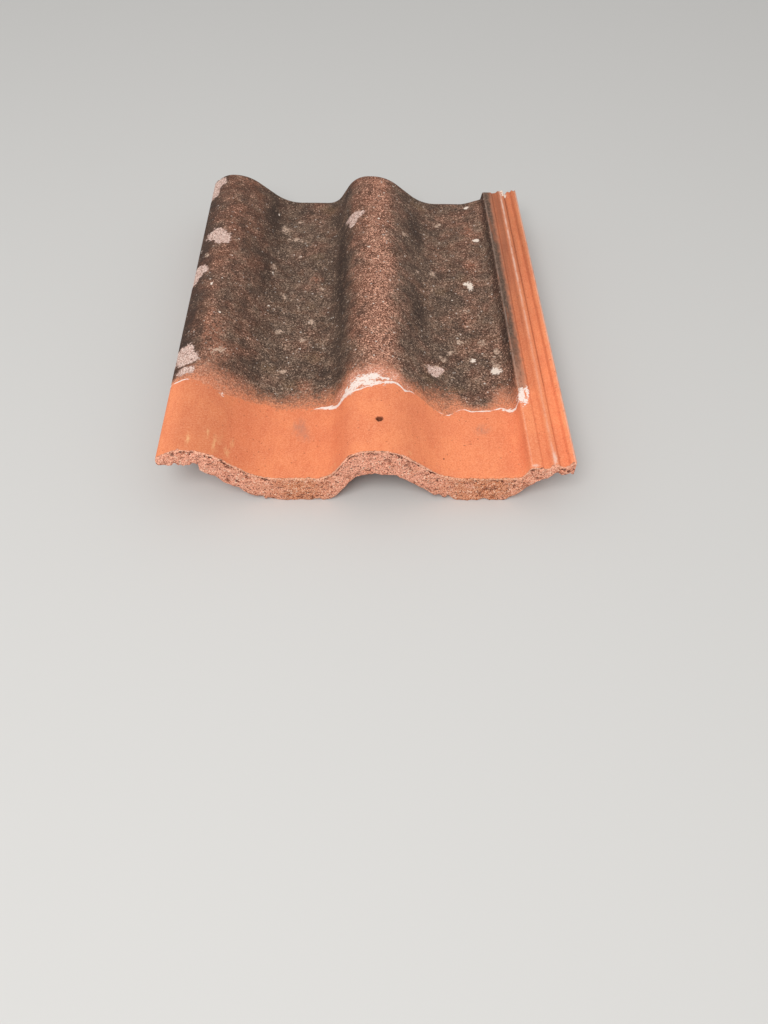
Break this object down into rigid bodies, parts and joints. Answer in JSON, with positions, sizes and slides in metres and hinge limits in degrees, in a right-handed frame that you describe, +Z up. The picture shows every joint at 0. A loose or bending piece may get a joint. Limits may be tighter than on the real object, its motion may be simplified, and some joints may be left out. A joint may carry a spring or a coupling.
{
  "type": "concrete roof tile",
  "caption": "Double pantile interlocking concrete roof tile with two rolls, ribbed side lock, head bar, weather bars and nail hole.",
  "frame": {"origin": "under the middle of the tile, on the plane that its head bar and weather bars rest on", "axes": "+X across the tile from the overlock to the ribbed underlock, +Y from the head to the tail, +Z up out of the weathered face"},
  "size_m": [0.332, 0.42, 0.059],
  "materials": {
    "concrete": "weathered matt colour coat over granular concrete"
  },
  "bodies": {
    "root": {"roof_tile": "concrete"}
  },
  "joints": []
}
